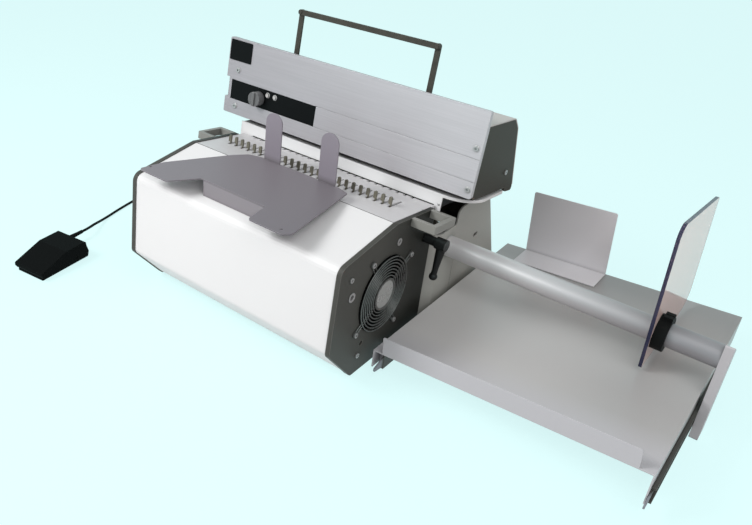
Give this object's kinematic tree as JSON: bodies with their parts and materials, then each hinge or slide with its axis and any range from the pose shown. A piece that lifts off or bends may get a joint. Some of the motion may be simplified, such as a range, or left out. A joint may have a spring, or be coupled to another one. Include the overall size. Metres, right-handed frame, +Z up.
{
  "type": "electric binding punch",
  "caption": "Desk punch and comb opener with a tilted punching head, paper rest, side stacker tray with a clear stop, folding bail and a foot pedal on a cable.",
  "frame": {"origin": "middle of the object's bounding box without the pedal cable, on the floor", "axes": "+X to the right along the head, +Y to the back, +Z up"},
  "size_m": [1.1469, 0.685, 0.4706],
  "materials": {
    "white_paint": "satin",
    "end_plate_paint": "satin",
    "table_paint": "satin",
    "pale_paint": "satin",
    "mauve_paint": "satin",
    "olive_paint": "satin",
    "side_paint": "satin",
    "head_aluminium": "brushed",
    "tube_aluminium": "satin",
    "tool_steel": "ground",
    "bright_wire": "polished",
    "screw_steel": "satin",
    "bail_steel": "blackened",
    "black_plastic": "fine grain",
    "knob_grey": "satin",
    "clear_sheet": "clear",
    "foot_rubber": "matt",
    "cable_rubber": "matt",
    "board_green": "satin"
  },
  "bodies": {
    "machine": {"base_plate": "end_plate_paint", "rubber_feet": "foot_rubber", "left_end_plate": "end_plate_paint", "right_end_plate": "end_plate_paint", "front_cover": "white_paint", "comb_table": "table_paint", "lower_guide": "white_paint", "left_grip_loop": "pale_paint", "right_grip_loop": "pale_paint", "paper_rest": "mauve_paint", "fan_frame": "black_plastic", "fan_guard": "bright_wire", "machine_screws": "screw_steel", "control_board": "board_green", "left_side_panel": "side_paint", "right_side_panel": "side_paint", "bulkhead": "olive_paint", "rear_cover": "side_paint", "die_block": "tool_steel", "inlet_socket": "black_plastic", "cable_gland": "black_plastic", "head_plate": "head_aluminium", "control_strip": "black_plastic", "head_left_cap": "olive_paint", "head_right_cap": "olive_paint", "head_cover": "pale_paint", "punch_frame": "tool_steel", "shaft_bearings": "end_plate_paint", "drive_motor": "end_plate_paint", "drive_belt": "cable_rubber", "bail_lugs": "bail_steel", "stacker_tube": "tube_aluminium", "end_post": "pale_paint", "slide_rails": "screw_steel", "pedal_base": "black_plastic", "pedal_strain_relief": "black_plastic", "cable_lead": "cable_rubber", "cable_coil": "cable_rubber", "cable_run": "cable_rubber"},
    "rake": {"hook_rake": "tool_steel"},
    "fan": {"fan_rotor": "tube_aluminium"},
    "lever": {"clamp_lever": "black_plastic"},
    "drawer": {"chip_drawer": "side_paint"},
    "rocker": {"power_switch": "black_plastic"},
    "knob": {"selector_knob": "knob_grey"},
    "start": {"start_button": "knob_grey"},
    "reverse": {"reverse_button": "knob_grey"},
    "punch": {"punch_beam": "tool_steel", "punch_pins": "tool_steel"},
    "shaft": {"eccentric_shaft": "tool_steel", "shaft_pulley": "tube_aluminium"},
    "motor_rotor": {"motor_pulley": "tube_aluminium"},
    "bail_left": {"bail_left_bar": "bail_steel"},
    "bail_right": {"bail_right_bar": "bail_steel"},
    "bail_top": {"bail_top_bar": "bail_steel"},
    "tray": {"stacker_tray": "pale_paint"},
    "guide": {"back_guide": "pale_paint"},
    "stop": {"clear_stop": "clear_sheet", "stop_collar": "black_plastic"},
    "treadle": {"pedal_treadle": "black_plastic"}
  },
  "joints": [
    {"name": "rake_slide", "type": "slide", "parent": "machine", "child": "rake", "axis": [0, 0.9925, -0.1219], "range_m": [0, 0.025]},
    {"name": "fan_spin", "type": "hinge", "parent": "machine", "child": "fan", "pos_m": [0.0677, -0.09896, 0.1275], "axis": [1, 0, 0], "continuous": true},
    {"name": "lever_swing", "type": "hinge", "parent": "machine", "child": "lever", "pos_m": [0.1137, 0.01154, 0.182], "axis": [1, 0, 0], "range_deg": [-100, 25]},
    {"name": "drawer_slide", "type": "slide", "parent": "machine", "child": "drawer", "axis": [0, 1, 0], "range_m": [0, 0.15]},
    {"name": "rocker_tip", "type": "hinge", "parent": "machine", "child": "rocker", "pos_m": [-0.3767, 0.06527, 0.30409], "axis": [0, 0.9925, -0.1219], "range_deg": [-6, 6]},
    {"name": "knob_turn", "type": "hinge", "parent": "machine", "child": "knob", "pos_m": [-0.2968, 0.04523, 0.30252], "axis": [0, 0.9925, -0.1219], "range_deg": [-135, 135]},
    {"name": "start_press", "type": "slide", "parent": "machine", "child": "start", "axis": [0, 0.9925, -0.1219], "range_m": [0, 0.0015], "stiffness_N_per_m": 600, "springref_m": -0.001},
    {"name": "reverse_press", "type": "slide", "parent": "machine", "child": "reverse", "axis": [0, 0.9925, -0.1219], "range_m": [0, 0.0015], "stiffness_N_per_m": 600, "springref_m": -0.001},
    {"name": "punch_stroke", "type": "slide", "parent": "machine", "child": "punch", "axis": [0, -0.1219, -0.9925], "range_m": [0, 0.013], "stiffness_N_per_m": 4000, "springref_m": -0.012},
    {"name": "shaft_spin", "type": "hinge", "parent": "machine", "child": "shaft", "pos_m": [-0.1223, 0.08853, 0.32944], "axis": [1, 0, 0], "continuous": true},
    {"name": "motor_spin", "type": "hinge", "parent": "machine", "child": "motor_rotor", "pos_m": [0.0977, 0.15289, 0.27922], "axis": [1, 0, 0], "continuous": true},
    {"name": "bail_fold", "type": "hinge", "parent": "machine", "child": "bail_left", "pos_m": [-0.2383, 0.07089, 0.37946], "axis": [0, 0.9925, -0.1219], "range_deg": [0, 86]},
    {"name": "bail_right_turn", "type": "hinge", "parent": "machine", "child": "bail_right", "pos_m": [0.0292, 0.07089, 0.37946], "axis": [0, 0.9925, -0.1219], "range_deg": [0, 86]},
    {"name": "bail_top_turn", "type": "hinge", "parent": "bail_left", "child": "bail_top", "pos_m": [-0.2383, 0.08143, 0.46532], "axis": [0, 0.9925, -0.1219], "range_deg": [-86, 0]},
    {"name": "tray_slide", "type": "slide", "parent": "machine", "child": "tray", "axis": [0, -1, 0], "range_m": [0, 0.15]},
    {"name": "guide_slide", "type": "slide", "parent": "tray", "child": "guide", "axis": [0, -1, 0], "range_m": [0, 0.06]},
    {"name": "stop_slide", "type": "slide", "parent": "machine", "child": "stop", "axis": [1, 0, 0], "range_m": [-0.13, 0.05]},
    {"name": "treadle_press", "type": "hinge", "parent": "machine", "child": "treadle", "pos_m": [-0.50595, -0.2547, 0.013], "axis": [0.9914, 0.1305, 0], "range_deg": [0, 2.5], "stiffness_Nm_per_rad": 1.5, "springref_deg": -1.72}
  ],
  "couplings": [
    {"joint": "motor_spin", "follows": "shaft_spin", "ratio": 1.8571},
    {"joint": "bail_right_turn", "follows": "bail_fold", "ratio": 1},
    {"joint": "bail_top_turn", "follows": "bail_fold", "ratio": -1}
  ]
}
